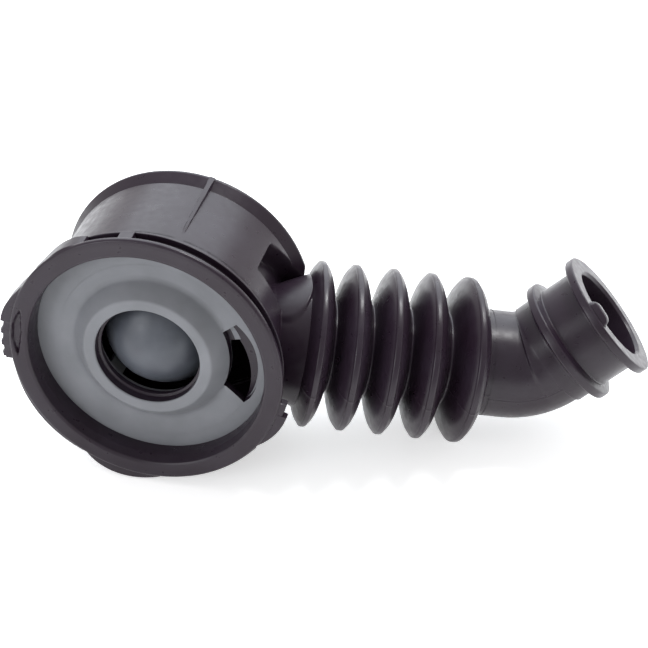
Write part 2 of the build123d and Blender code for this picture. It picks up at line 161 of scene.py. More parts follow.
def grid_object(name, points, keep=None):
    """Mesh of quads over points[row, column], whose last column joins the first.
    keep[row, column] says which quads stay; edges over the crisp angle stay sharp."""
    rows, columns, _ = points.shape
    index = np.arange(rows * columns).reshape(rows, columns)
    beside = np.roll(index, -1, axis=1)
    quads = np.stack([index[:-1], beside[:-1], beside[1:], index[1:]], axis=-1)
    if keep is not None:
        quads = quads[keep[: quads.shape[0], : quads.shape[1]]]
    quads = quads.reshape(-1, 4)
    used = np.unique(quads)
    place = np.zeros(rows * columns, int)
    place[used] = np.arange(len(used))
    mesh = bpy.data.meshes.new(name)
    flat = (points.reshape(-1, 3)[used] * MM).tolist()
    mesh.from_pydata(flat, [], place[quads].tolist())
    mesh.update()
    mesh.polygons.foreach_set("use_smooth", [True] * len(mesh.polygons))
    mesh.set_sharp_from_angle(angle=crisp_angle)
    made = bpy.data.objects.new(name, mesh)
    bpy.context.scene.collection.objects.link(made)
    return made


print("edges stay crisp over", round(math.degrees(crisp_angle)), "degrees")

# %% A section with rounded corners


def corner_arc(before, spot, after, rounding, steps=5):
    """Arc of radius `rounding` tangent to both runs at a corner.  Its points are
    centre + (sin((1 - t) turn) first + sin(t turn) last) / sin(turn)."""
    u, v = unit(before - spot), unit(after - spot)
    half = math.acos(max(-1.0, min(1.0, float(u @ v)))) / 2
    if rounding <= 0 or half > 1.56:
        return [spot]
    room = 0.49 * min(np.linalg.norm(before - spot), np.linalg.norm(after - spot))
    tangent = min(rounding / math.tan(half), room)
    radius = tangent * math.tan(half)
    centre = spot + unit(u + v) * radius / math.sin(half)
    first, last = spot + u * tangent - centre, spot + v * tangent - centre
    turn = math.pi - 2 * half
    arc = []
    for t in np.linspace(0, 1, steps + 1):
        mix = math.sin((1 - t) * turn) * first + math.sin(t * turn) * last
        arc.append(centre + mix / math.sin(turn))
    return arc


def rounded(corners, spacing=1.0):
    """Section through (radius, along, rounding) corners: each corner becomes an arc,
    and runs longer than `spacing` are divided evenly."""
    spots = np.array([corner[:2] for corner in corners], float)
    line = [spots[0]]
    for k in range(1, len(spots) - 1):
        line += corner_arc(spots[k - 1], spots[k], spots[k + 1], corners[k][2])
    line.append(spots[-1])
    out = [line[0]]
    for a, b in zip(line[:-1], line[1:]):
        pieces = max(1, int(math.ceil(np.linalg.norm(b - a) / spacing)))
        out += [a + (b - a) * (i + 1) / pieces for i in range(pieces)]
    return np.array(out)


square_corner = rounded([(0, 0, 0), (9, 0, 2), (9, 9, 0)], spacing=9)
print("a square corner becomes an arc of", len(square_corner) - 2, "points")

# %% [markdown]
# The finishes.  The hose is black rubber with a little oil in it: semi-gloss, with a
# fine moulded grain that breaks the highlights and a bloom of dust that drifts slowly
# over it.  One flat colour would look like paint, and a picture of rubber would repeat,
# so noise on the piece's own coordinates drives the colour, the gloss and a very fine
# bump.  The seat and the ball are plain moulded plastics, and take the same recipe with
# finer grain and their own greys.

# %% Helpers for material nodes


def node(tree, kind, **settings):
    """A new node whose named inputs or properties are set."""
    made = tree.nodes.new(kind)
    for name, value in settings.items():
        if name in made.inputs:
            made.inputs[name].default_value = value
        else:
            setattr(made, name, value)
    return made


def mapped(tree, source, low, high, out_low, out_high):
    """Map Range from [low, high] to [out_low, out_high]."""
    made = node(tree, "ShaderNodeMapRange")
    for name, value in zip(
        ("From Min", "From Max", "To Min", "To Max"), (low, high, out_low, out_high)
    ):
        made.inputs[name].default_value = value
    tree.links.new(source, made.inputs["Value"])
    return made.outputs["Result"]


print("helpers ready:", node.__name__, mapped.__name__)

# %% A moulded finish
grain_height = 0.0002


def moulded(name, dark, light, rough, specular, grain, bloom_scale, bump):
    """Colour and gloss drift between two values with soft clouds, and a fine grain
    lies on the surface."""
    material = bpy.data.materials.new(name)
    material.use_nodes = True
    tree = material.node_tree
    shader = tree.nodes["Principled BSDF"]
    shader.inputs["Specular IOR Level"].default_value = specular
    where = tree.nodes.new("ShaderNodeTexCoord").outputs["Object"]
    clouds = node(tree, "ShaderNodeTexNoise", Scale=bloom_scale, Detail=5.0)
    fine = node(tree, "ShaderNodeTexNoise", Scale=grain, Detail=3.0)
    specks = node(tree, "ShaderNodeTexNoise", Scale=grain / 3, Detail=2.0)
    for texture in (clouds, fine, specks):
        tree.links.new(where, texture.inputs["Vector"])
    mix = node(tree, "ShaderNodeMix", data_type="RGBA")
    mix.inputs["A"].default_value = (*dark, 1)
    mix.inputs["B"].default_value = (*light, 1)
    tree.links.new(mapped(tree, clouds.outputs["Fac"], 0.35, 0.7, 0, 1), mix.inputs[0])
    tree.links.new(mix.outputs[2], shader.inputs["Base Color"])
    gloss = mapped(tree, specks.outputs["Fac"], 0.3, 0.7, rough - 0.05, rough + 0.07)
    tree.links.new(gloss, shader.inputs["Roughness"])
    relief = node(tree, "ShaderNodeBump", Strength=bump, Distance=grain_height)
    tree.links.new(fine.outputs["Fac"], relief.inputs["Height"])
    tree.links.new(relief.outputs["Normal"], shader.inputs["Normal"])
    return material


print("grain at most", grain_height / MM, "mm high")

# %% Black rubber, and the plastics of the seat and the ball
rubber = moulded(
    "moulded_rubber",
    dark=(0.0175, 0.0095, 0.0172),
    light=(0.026, 0.0178, 0.0278),
    rough=0.32,
    specular=0.35,
    grain=900.0,
    bloom_scale=38.0,
    bump=0.1,
)
seat_plastic = moulded(
    "seat_plastic",
    dark=(0.195, 0.2, 0.216),
    light=(0.235, 0.24, 0.26),
    rough=0.5,
    specular=0.4,
    grain=1400.0,
    bloom_scale=60.0,
    bump=0.12,
)
ball_plastic = moulded(
    "ball_plastic",
    dark=(0.06, 0.066, 0.082),
    light=(0.105, 0.114, 0.134),
    rough=0.42,
    specular=0.5,
    grain=1400.0,
    bloom_scale=60.0,
    bump=0.1,
)
looks = {"rubber": rubber, "seat_plastic": seat_plastic, "ball_plastic": ball_plastic}
print("finishes", sorted(looks))

# %% Giving a piece its finish and its body


def dress(made, slot, body=None):
    """Gives a piece the material that its slot names, and the body that carries it."""
    made.data.materials.clear()
    made.data.materials.append(looks[slot])
    if body:
        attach(made, body)
    return made


for part in record["subparts"]:
    carried = frame["nodes"][part["node"]]
    carried.data.materials.clear()
    carried.data.materials.append(looks[part["material_slot"]])
print("solids with a finish", len(record["subparts"]))

# %% [markdown]
# The tub collar is the soft mouth that slips over the tub's outlet: a lip, a groove for
# the wire clamp, a sloping shoulder, and ears to pull it on by.  The ears could be
# joined on as solids of their own, but that leaves seams where rubber has none.  Here
# one section is turned about the boot's axis, and the ears, teeth, tab and slit only
# change its radius or its depth where they stand, so the collar stays one skin.

# %% Sizes of the collar
lip_r = 58.7
lip_crown = 56.7
shoulder_r = 57.0
groove_r = 54.2
groove_front = 2.4
groove_back = 8.6
drum_r = 52.0
bore_r = 50.0
seam_depth = 18.0
print("lip", 2 * lip_r, "mm across, bore", 2 * bore_r, "mm")

# %% Smooth steps and evenly spaced angles


def smooth(x):
    """Smooth step: 0 below 0, 3x^2 - 2x^3 between, 1 above 1."""
    x = np.clip(x, 0, 1)
    return x * x * (3 - 2 * x)


def around(step, edges, soft):
    """Even angles with extra ones just before and after each edge, all in [0, 360)."""
    even = np.arange(0, 360, step)
    near = np.array([[edge - soft, edge, edge + soft] for edge in edges]).ravel() % 360
    return np.unique(np.round(np.concatenate([even, near]), 4))


print("half way up a smooth step:", smooth(0.5))

# %% The collar's section: shoulder, groove, lip, lead-in and bore
collar_section = rounded(
    [
        (drum_r, seam_depth, 0),
        (drum_r, 15.4, 4.0),
        (shoulder_r, 9.4, 0.5),
        (shoulder_r, groove_back, 0.3),
        (groove_r, groove_back, 0.5),
        (groove_r, groove_front, 0.5),
        (lip_r, groove_front, 0.5),
        (lip_r, 0.0, 1.4),
        (56.2, 0.0, 3.0),
        (52.0, 0.45, 0.8),
        (50.8, 1.0, 0.9),
        (bore_r, 5.0, 1.5),
        (bore_r, 11.35, 0.2),
        (bore_r + 0.9, 11.38, 0),
    ],
    spacing=0.55,
)
collar_r, collar_d = collar_section[:, :1], collar_section[:, 1:]
crown_row = np.argmin(np.hypot(collar_r - lip_crown, collar_d))
collar_outside = np.arange(len(collar_section))[:, None] < crown_row
print("collar section", len(collar_section), "points, outer side", crown_row)

# %% Ears, teeth and tab
# each ear is a list of (angle, rise over the lip) corners; the deep ones reach back
# over the groove, and the others are as thick as the lip
ear_front = 1.0
deep_back = 8.9
lip_back = 4.6
ear_round = 0.6
deep_ears = (
    ((115, -0.9), (121, 0.4), (130, 0.2), (143, -0.4)),
    ((143, -0.4), (150, -0.1), (157, 1.7), (171, 4.4)),
    ((171, 3.0), (180, 3.1), (188, 3.0)),
)
lip_ears = (
    ((194, 0.4), (209, 1.2), (220, 1.4), (240, 0.7)),
    ((242, 0.8), (251, 3.6), (261, 3.6), (274, 0.7)),
    ((276, 0.3), (300, 0.2), (322, 0.4)),
    ((324, 0.3), (331, 2.5), (343, 4.0)),
    ((343, 2.2), (346, 2.3), (349, 2.5)),
)
teeth = dict(middles=(175.5, 181.0, 186.0), half=1.15, rise=3.9, round=0.5)
tab = dict(low=94.0, high=100.0, radius=57.4, front=3.0, back=9.3, round=0.4)
print("ears", len(deep_ears) + len(lip_ears), "teeth", len(teeth["middles"]))

# %% How an ear's outline and its rounded edges are worked out


def ear_radius(angle, outlines):
    """Highest radius of the outlines at an angle; each outline is the polynomial
    through its (angle, rise over the lip) corners."""
    best = np.full(angle.shape, -1e3)
    for outline in outlines:
        at, rise = zip(*outline)
        mid = (at[0] + at[-1]) / 2
        curve = np.polyfit(np.array(at) - mid, rise, len(at) - 1)
        inside = (angle >= at[0]) & (angle < at[-1])
        best = np.where(inside, np.polyval(curve, angle - mid), best)
    return lip_r + best


def edge_fall(depth, front, back, rounding):
    """How far a rounded edge drops the radius near a front or back face:
    rounding (1 - sqrt(1 - x^2)), and out of reach beyond the faces."""
    near = np.minimum(depth - front, back - depth)
    x = np.clip(1 - near / rounding, 0, 1)
    return rounding * (1 - np.sqrt(1 - x * x)) + np.where(near < -1e-6, 1e3, 0)


edges = [ear[0][0] for ear in deep_ears + lip_ears]
edges += [ear[-1][0] for ear in deep_ears + lip_ears]
for middle in teeth["middles"]:
    edges += [middle - teeth["half"], middle + teeth["half"]]
edges += [tab["low"], tab["high"]]
collar_angle = around(0.75, edges, 0.12)[None, :]
print("collar columns", collar_angle.size)

# %% Raising the ears, teeth and tab out of the section
radius = np.broadcast_to(collar_r, (len(collar_section), collar_angle.size)).copy()
for outlines, back in ((deep_ears, deep_back), (lip_ears, lip_back)):
    fall = edge_fall(collar_d, ear_front, back, ear_round)
    raised = ear_radius(collar_angle, outlines) - fall
    radius = np.where(collar_outside, np.maximum(radius, raised), radius)
tooth_fall = edge_fall(collar_d, ear_front, deep_back, teeth["round"])
for middle in teeth["middles"]:
    on = np.abs(collar_angle - middle) <= teeth["half"]
    raised = lip_r + teeth["rise"] - tooth_fall
    radius = np.where(collar_outside & on, np.maximum(radius, raised), radius)
on_tab = (collar_angle >= tab["low"]) & (collar_angle <= tab["high"])
tab_top = tab["radius"] - edge_fall(collar_d, tab["front"], tab["back"], tab["round"])
radius = np.where(collar_outside & on_tab, np.maximum(radius, tab_top), radius)
print("ears reach", round(float(radius.max()), 2), "mm from the axis")

# %% The slit, the low-lying lead-in and the skin
slit = dict(middle=174.0, half=13.0, radius=55.5, width=2.3, depth=1.5, soft=1.1)
lip_face = 1.6
sag = dict(drop=0.9, depth=9.0, radius=54.0, soft=2.0)
# the slit is a lens: its half-width falls as 1 - x^2 towards its ends
slit_x = (collar_angle - slit["middle"]) / slit["half"]
slit_half = slit["width"] * np.clip(1 - slit_x**2, 0, 1)
from_middle = np.abs(collar_r - slit["radius"])
in_slit = smooth((slit_half - from_middle) / slit["soft"]) * (collar_d < lip_face)
depth = np.broadcast_to(collar_d, radius.shape) + slit["depth"] * in_slit
# the soft lead-in sits a little low in the ring
sunk = sag["drop"] * (1 - smooth(collar_d / sag["depth"]))
sunk = sunk * smooth((sag["radius"] - collar_r) / sag["soft"])
radius = radius - sunk * np.sin(np.radians(collar_angle))
collar = grid_object("tub_collar_skin", boot_place(radius, collar_angle, depth))
dress(collar, "rubber", "boot")
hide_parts("tub_collar")
print("collar", len(collar.data.polygons), "quads")

# %% [markdown]
# The boot drum is the chamber where grit and coins settle: a round wall with a thin
# rib, a sunken panel beside the outlet, a rim and a back plate.  Cutting and joining
# solids would leave hard lines where the outlet leaves the wall, yet rubber flows round
# there.  So the drum is one radius over angle and depth.  Where the outlet's cone
# reaches further out than the wall, it takes over through a maximum with a fillet.

# %% Sizes of the drum
boot_length = 64.7
rim_start = 61.0
rim_top = boot_length - 0.9
plate_edge = 50.0
rib = dict(angle=77.2, start=22.4, height=2.5, foot=0.45, spread=0.8, soft=0.4)
rib_lip = dict(height=0.4, soft=0.3)
relief = dict(low=2.2, high=38.0, front=31.9, depth=8.0, side=1.4, step=1.3, ramp=4.5)
relief_rear = dict(depth=47.6, turn=37.8, slant=0.38, end=60.0)
relief_rows = np.arange(30.4, 32.6, 0.2)
drum_edges = [*np.arange(75.2, 79.3, 0.5), 38.1, 38.8, 39.4]
drum_angle = around(0.75, drum_edges, 0.2)[None, :]
print("drum columns", drum_angle.size)

# %% The drum's section: wall, rim and back plate
drum_section = rounded(
    [
        (drum_r, seam_depth - 0.6, 0),
        (drum_r, 57.2, 0.25),
        (51.3, 57.5, 0.25),
        (51.3, 58.2, 0.4),
        (54.2, 63.0, 0.7),
        (54.2, 64.1, 0.5),
        (53.5, boot_length, 0.5),
        (47.0, boot_length, 0.6),
        (46.4, boot_length - 0.8, 0.6),
        (6.0, boot_length - 0.8, 0.3),
        (5.6, boot_length - 1.2, 0.3),
        (0.02, boot_length - 1.2, 0),
    ],
    spacing=0.62,
)
# the flat back plate needs few rows, and the relief's front edge needs more
plate_thin = 6
plate = (drum_section[:, 1] > 62.0) & (drum_section[:, 0] < 45.0)
drum_section = np.concatenate(
    [drum_section[~plate], drum_section[plate][::plate_thin], drum_section[-1:]]
)
wall = drum_section[:, 1] < 57.0
more = np.array([[drum_r, d] for d in relief_rows])
wall_part = np.concatenate([drum_section[wall], more])
wall_part = wall_part[np.argsort(wall_part[:, 1])]
drum_section = np.concatenate([wall_part, drum_section[~wall]])
section_r, section_d = drum_section[:, :1], drum_section[:, 1:]
print("drum section", len(drum_section), "points")

# %% [markdown]
# The outlet's neck is a cone that widens towards the first fold.  Over most of its
# round a thicker hood lies on it, whose low edge curls upwards in a rounded corner.  It
# could be a second shell laid on the first, but two skins a millimetre apart flicker
# where they cross.  One radius with a soft step in it gives the same look, and both the
# drum and the hood beyond it can ask for that radius.

# %% The cone and its hood
cone = dict(radius=23.9, run=46.5, rise=0.43, start=36.0)
hood_step = 1.2
hood_cover = (-30.0, 150.0)
hood_edge = 9.0
hood_corner = dict(run=49.6, length=10.0, lift=42.0)


def signed(angle):
    """The same angle in [-180, 180)."""
    return (angle + 180) % 360 - 180


def window(x, low, high, soft):
    """1 between low and high, falling smoothly to 0 over `soft` outside them."""
    return smooth((x - low) / soft + 1) * smooth((high - x) / soft + 1)


def hood_radius(run, angle):
    """Radius of the outlet, a cone that widens towards the first fold.  Outside the
    angles that the hood covers it is a step lower; the hood's low edge turns upwards
    along a quarter circle as it nears the fold."""
    corner = np.clip((run - hood_corner["run"]) / hood_corner["length"], 0, 1)
    low = hood_cover[0] + hood_corner["lift"] * (1 - np.sqrt(1 - corner**2))
    step = hood_step * (1 - window(signed(angle), low, hood_cover[1], hood_edge))
    widened = cone["rise"] * (np.maximum(run, cone["start"]) - cone["run"])
    return cone["radius"] + widened - step


print("neck radius at its foot", hood_radius(cone["run"], 60.0))

# %% [markdown]
# The wall is measured from the boot's axis and the neck from the hose's axis, so to
# join them the neck has to be measured from the boot's axis too.  A boolean would find
# the join with triangles.  Here each ray from the boot's axis is a straight line, and
# the far place where it leaves a tube of a given radius is a root of a quadratic
# equation.  The cone's radius changes along the hose, so the answer is put back into
# the question a few times, until it settles.

# %% Rays from the boot's axis, seen along the hose


def boot_frame(vector):
    """Parts of a vector across, inward and above the boot's axis."""
    return np.array([vector @ across, vector @ inward, vector @ above])


way = boot_frame(hose_way)
up_part, side_part = boot_frame(hose_up), boot_frame(hose_side)
from_start = section_d - boot_frame(hose_start - lip_centre)[1]
ray_across, ray_above = np.cos(np.radians(drum_angle)), np.sin(np.radians(drum_angle))
ray_way = ray_across * way[0] + ray_above * way[2]
offset_way = from_start * way[1]
towards_hose = ray_way > 0.2


def outlet(tube_r):
    """Far root r of |(r ray + offset) - ((r ray + offset).b) b|^2 = tube_r^2."""
    square = 1 - ray_way**2
    linear = -ray_way * offset_way
    inside = linear**2 - square * (from_start**2 - offset_way**2 - tube_r**2)
    root = (-linear + np.sqrt(np.maximum(inside, 0))) / np.maximum(square, 1e-6)
    return np.where(towards_hose & (inside > 0), root, 0.0)


def plane(run):
    """Radius at which the ray reaches a plane across the hose axis."""
    return (run - offset_way) / np.maximum(ray_way, 0.05)


def from_hose(r):
    """Distance of the point at radius r from the hose axis, and its run."""
    along = r * ray_way + offset_way
    return np.sqrt(np.maximum(r**2 + from_start**2 - along**2, 0)), along


print("the hose leaves the boot at", np.degrees(np.arccos(way[1])).round(1), "degrees")

# %% The neck, where rays from the boot meet the cone
# the hood's own skin rises out of the neck's up to the sink's run, and from there the
# neck's dips under it, so only one of them shows
neck_rounds = 6
neck_end = 47.4
neck_sink = dict(drop=0.5, run=45.0, length=2.0)
neck = outlet(cone["radius"])
for _ in range(neck_rounds):
    run = neck * ray_way + offset_way
    up = neck * (ray_across * up_part[0] + ray_above * up_part[2])
    up = up + from_start * up_part[1]
    out = neck * (ray_across * side_part[0] + ray_above * side_part[2])
    out = out + from_start * side_part[1]
    round_hose = np.degrees(np.arctan2(out, up))
    sink = neck_sink["drop"] * smooth((run - neck_sink["run"]) / neck_sink["length"])
    neck = outlet(hood_radius(run, round_hose) - sink)
neck = np.minimum(neck, plane(neck_end))
print("neck reaches", round(float(neck.max()), 2), "mm from the boot's axis")

# %% [markdown]
# Beside the outlet the mould leaves a sunken panel, with a crisp front edge and a long
# soft ramp behind it, and a thin rib grows towards the rim.  Both could be displaced
# with a texture, but their edges would then be as coarse as the grid.  Here the grid
# has closer rows and columns along those edges, and soft windows over angle and depth
# add each form to the wall's radius.

# %% The sunken panel beside the outlet
# its rear edge slants back towards the outlet
turn = signed(drum_angle)
rear = relief_rear["depth"] + (relief_rear["turn"] - turn) * relief_rear["slant"]
in_relief = window(turn, relief["low"], relief["high"], relief["side"])
in_relief = in_relief * smooth((section_d - relief["front"]) / relief["step"] + 1)
in_relief = in_relief * smooth((rear - section_d) / relief["ramp"] + 1)
on_wall = (section_d < relief_rear["end"]) * (section_r > plate_edge)
body = section_r - relief["depth"] * in_relief * on_wall
print("panel sinks", round(float((section_r - body).max()), 2), "mm")

# %% The thin rib on top
rib_rise = rib["height"] * (section_d - rib["start"]) / (boot_length - rib["start"])
rib_half = rib["foot"] + rib["spread"] * np.clip(rib_rise / rib["height"], 0, 1)
rib_step = rib_lip["height"] * smooth(rib_rise / rib_lip["soft"])
rib_top = drum_r + np.maximum(rib_rise, 0) + rib_step
rib_low, rib_high = rib["angle"] - rib_half, rib["angle"] + rib_half
on_rib = window(drum_angle, rib_low, rib_high, rib["soft"])
on_rib = on_rib * (rib_rise > 0) * (section_d < rim_top) * (section_r > plate_edge)
body = body + np.maximum(rib_top - body, 0) * on_rib
print("rib rises", rib["height"] + rib_lip["height"], "mm at the rim")

# %% Joining wall and neck into one skin
body_end = 57.4
hose_rim = dict(reach=35.0, soft=1.2)
neck_fillet = 4.0
hole = dict(radius=22.5, run=45.0)


def soft_max(a, b, blend):
    """Maximum with a fillet: max(a, b) + max(blend - |a - b|, 0)^2 / (4 blend)"""
    return np.maximum(a, b) + np.maximum(blend - np.abs(a - b), 0) ** 2 / (4 * blend)


# close to the hose the wall stops at a plane, which leaves the first fold room
away, along = from_hose(body)
near_hose = smooth((hose_rim["reach"] - away) / hose_rim["soft"]) * towards_hose
body = body - np.maximum(body - plane(body_end), 0) * near_hose
radius = np.where(section_d < rim_start, soft_max(body, neck, neck_fillet), body)
# inside the hood the way is open, so the quads there are left out
away, along = from_hose(radius)
keep = (away > hole["radius"]) | (ray_way < 0.2) | (along < hole["run"])
drum = grid_object(
    "boot_drum_skin",
    boot_place(radius, drum_angle, section_d),
    keep=keep & np.roll(keep, -1, axis=1),
)
dress(drum, "rubber", "boot")
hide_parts("boot_wall", "boot_back", "outlet_neck")
print("drum", len(drum.data.polygons), "quads")

# %% [markdown]
# The hood goes on past the drum, over the first root of the bellows, and ends in a
# small curl against the first fold.  That root bends, so a rigid hood would cut into
# the fold as soon as the hose bends.  It is made in two halves that meet in the middle
# of the root: one from the boot to the root's ring, the other from that ring to the
# first fold.  Both halves here are fixed in place and ride on no body.

# %% The hood over the first root
hood_start = 43.0
hood_end = 59.6
hood_hinge = 49.5
first_root = 54.1
curl = dict(drop=1.6, run=58.6)
hood_rows = 24
hose_angles = np.arange(0, 360, 1.25)
for tag, low, high, first, second, start in (
    ("a", hood_start, first_root, "boot", "waist_1", hood_hinge),
    ("b", first_root, hood_end, "waist_1", "fold_1", first_root),
):
    run = np.arange(low, high + 0.01, (high - low) / hood_rows)[:, None]
    sink = neck_sink["drop"] * (1 - smooth((run - hood_start) / neck_sink["length"]))
    r = hood_radius(run, hose_angles) - sink
    r -= curl["drop"] * smooth((run - curl["run"]) / (hood_end - curl["run"])) ** 2
    hood = grid_object(f"outlet_hood_skin_{tag}", hose_place(r, hose_angles, run))
    dress(hood, "rubber")
    ends = [hose_place(0.0, 0.0, v) * MM for v in (start, high)]
    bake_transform(hood)
print("hood from run", hood_start, "to", hood_end, "mm")

# %% [markdown]
# The valve seat is a grey plastic plate with a raised nozzle in the middle and a kidney
# slot at its side, so that some water always gets past the ball.  A boolean cut would
# leave ragged triangles round the slot.  Instead rows of the grid bend to follow the
# slot's two edges, and a third edge where its floor is open, so the walls are crisp and
# the quads even.  A "share" runs from 0 at the slot's inner radius to 1 at its outer.

# %% Sizes of the seat
port_r = 22.4
rim_depth = 4.0
cone_foot = 33.9
seat_face = 11.4
seat_back = 14.4
seat_r = 50.6
slot_in_r = 33.5
slot_out_r = 46.1
slot_ends = (-28.6, 25.3)
hole_ends = (-28.6, 12.45)
start_share = 0.85
end_share = 0.54
slot_bends = (-24.0, 22.5)
hole_bend = -22.8
ledge = 3.2
ledge_step = 0.7
hole_drop = 3.0
crisp = 0.006
seat_angle = around(1.5, [*slot_ends, hole_ends[1], *slot_bends, hole_bend], 0.12)
slot_columns = np.arange(-30, 28, 0.5) % 360
seat_angle = np.unique(np.concatenate([seat_angle, slot_columns]))[None, :]
print("seat columns", seat_angle.size)

# %% The edges of the kidney slot


def through(angle, *spots):
    """Polynomial through (angle, share) spots."""
    at, share = zip(*spots)
    return np.polyval(np.polyfit(at, share, len(at) - 1), angle)


def between(angle, start, end):
    """Straight change of share between two (angle, share) spots."""
    t = np.clip((angle - start[0]) / (end[0] - start[0]), 0, 1)
    return start[1] + (end[1] - start[1]) * t


tip = (slot_ends[0], start_share)
turn = signed(seat_angle)
low_bend, high_bend = (slot_bends[0], 0.0), (slot_bends[0], 0.95)
slot_low = between(turn, (slot_bends[1], 0.0), (slot_ends[1], end_share))
slot_low = np.where(turn < slot_bends[0], between(turn, tip, low_bend), slot_low)
slot_high = through(turn, (slot_ends[1], end_share), (-8.7, 1.0), high_bend)
slot_high = np.where(turn < slot_bends[0], between(turn, tip, high_bend), slot_high)
hole_high = through(turn, (12.5, 0.36), (-6.9, 0.65), (hole_bend, 0.82))
hole_tip = between(turn, tip, (hole_bend, 0.82))
hole_high = np.where(turn < hole_bend, hole_tip, hole_high)
in_slot = (turn > slot_ends[0]) & (turn < slot_ends[1])
in_hole = (turn > hole_ends[0]) & (turn < hole_ends[1])
# past its ends the slot closes to a point, and the hole to the slot's middle
closed = np.where(turn > 0, end_share, start_share)
slot_low, slot_high = [np.where(in_slot, x, closed) for x in (slot_low, slot_high)]
hole_high = np.where(in_hole, hole_high, (slot_low + slot_high) / 2)
hole_high = np.clip(hole_high, slot_low, slot_high)
print("slot at most", round(float((slot_high - slot_low).max()), 2), "of its band wide")

# %% Radii: nozzle, cone, slot edges and outer plate
nozzle = rounded(
    [
        (port_r + 0.15, rim_depth + 2.0, 0),
        (port_r + 0.15, rim_depth, 0.7),
        (27.4, rim_depth, 1.6),
        (cone_foot, seat_face, 1.0),
        (cone_foot + 1.5, seat_face, 0),
    ],
    spacing=0.7,
)
nozzle = nozzle[nozzle[:, 0] < slot_in_r - 0.25]
cone_r, cone_d = nozzle[-1]
# each edge is two rows a hair apart, so the wall between them is upright
share_rows = [
    edge + side for edge in (slot_low, hole_high, slot_high) for side in (-crisp, crisp)
]
slot_rows = slot_in_r + (slot_out_r - slot_in_r) * np.concatenate(share_rows)
outer_rows = slot_rows[-1] + (seat_r - slot_rows[-1]) * np.linspace(0, 1, 6)[1:, None]
inner_rows = cone_r + (slot_rows[0] - cone_r) * np.linspace(0, 1, 7)[1:-1, None]
seat_radius = np.concatenate(
    [np.repeat(nozzle[:, :1], turn.size, axis=1), inner_rows, slot_rows, outer_rows]
)
print("seat rows", len(seat_radius))

# %% Depths: the slot's floor drops below the face
drops = [
    0 * turn,
    np.where(in_hole, hole_drop, ledge * in_slot),
    np.where(in_hole, hole_drop, ledge * in_slot),
    (ledge - ledge_step) * in_slot,
    ledge * in_slot,
    0 * turn,
]
cone_line = np.interp(inner_rows, [cone_r, cone_foot], [cone_d, seat_face])
slot_face = np.interp(slot_rows, [cone_r, cone_foot], [cone_d, seat_face])
seat_depth = np.concatenate(
    [
        np.repeat(nozzle[:, 1:], turn.size, axis=1),
        cone_line,
        slot_face + np.concatenate(drops),
        np.full(outer_rows.shape, seat_face),
    ]
)
seat_front = boot_place(seat_radius, seat_angle, seat_depth)
print("slot floor at most", round(float(seat_depth.max()) - seat_face, 2), "mm deep")

# %% Front of the seat, with dark rubber in the slot as painted shade
# quads of the recess are lined with dark rubber, a painted shade for the recess,
# and those of the hole are left out
first_slot = len(nozzle) + len(inner_rows)
row = np.arange(len(seat_radius))[:, None]
both_hole = in_hole & np.roll(in_hole, -1, axis=1)
touch = in_slot | np.roll(in_slot, -1, axis=1)
recess = (row >= first_slot) & (row <= first_slot + 4) & touch
open_floor = (row == first_slot + 1) & both_hole
seat = grid_object("valve_seat_skin", seat_front, keep=~recess)
painted_slot_shade = grid_object("slot_painted_shade_skin", seat_front, keep=recess & ~open_floor)
print("seat", len(seat.data.polygons), "painted_slot_shade", len(painted_slot_shade.data.polygons))

# %% Back of the seat
back_edge = rounded(
    [
        (seat_r, seat_face, 0),
        (seat_r, seat_back, 0.3),
        (port_r + 2.0, seat_back, 0.2),
        (port_r, 12.0, 0),
    ],
    spacing=2.5,
)
back_radius = np.concatenate(
    [
        np.repeat(back_edge[:2, :1], turn.size, axis=1),
        slot_rows[[3]],
        slot_rows[[1]],
        np.repeat(back_edge[-2:, :1], turn.size, axis=1),
    ]
)
back_depth = np.array([seat_face, seat_back, seat_back, seat_back, seat_back, 12.0])
back_row = np.arange(len(back_depth))[:, None]
rear = grid_object(
    "valve_seat_back_skin",
    boot_place(back_radius, seat_angle, back_depth[:, None]),
    keep=~((back_row == 2) & both_hole),
)
print("back", len(rear.data.polygons), "quads")

# %% [markdown]
# Just inside the nozzle a turned ring with a small ridge lines the bore; it is dark
# rubber, whose darkness paints the shade inside the port.  Behind the seat a cage of
# fingers keeps the ball in place.  The ring is a turned section like the rest. The cage is
# hardly seen and its solid already has the right shape, so a copy of
# that solid is cut off behind the plate rather than modelled again.

# %% Port ring, dark rubber as painted shade
port_ring_section = rounded(
    [
        (port_r + 0.12, rim_depth + 0.5, 0),
        (port_r, 8.0, 0.2),
        (21.3, 8.3, 0.25),
        (21.3, 9.4, 0.3),
        (port_r, 9.8, 0.2),
        (port_r, 12.0, 0),
    ],
    spacing=0.7,
)
port_ring_angle = np.arange(0, 360, 2.0)[None, :]
shaded_port_ring = grid_object(
    "port_ring_shade_skin",
    boot_place(port_ring_section[:, :1], port_ring_angle, port_ring_section[:, 1:]),
)
print("shaded_port_ring", len(shaded_port_ring.data.polygons), "quads")

# %% Ball cage
cage = bpy.data.objects.new("ball_cage_skin", frame["nodes"]["valve_seat"].data.copy())
bpy.context.scene.collection.objects.link(cage)
cut = bmesh.new()
cut.from_mesh(cage.data)
bmesh.ops.bisect_plane(
    cut,
    geom=cut.verts[:] + cut.edges[:] + cut.faces[:],
    plane_co=Vector((lip_centre + inward * (seat_back + 0.05)) * MM),
    plane_no=Vector(inward),
    clear_inner=True,
)
cut.to_mesh(cage.data)
cut.free()
for piece in (seat, rear, cage):
    dress(piece, "seat_plastic", "boot")
# the dark rubber in the slot's recess is painted shade
# the port ring's dark rubber is painted shade inside the port
for piece in (painted_slot_shade, shaded_port_ring):
    dress(piece, "rubber", "boot")
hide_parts("valve_seat")
print("cage", len(cage.data.polygons), "faces")

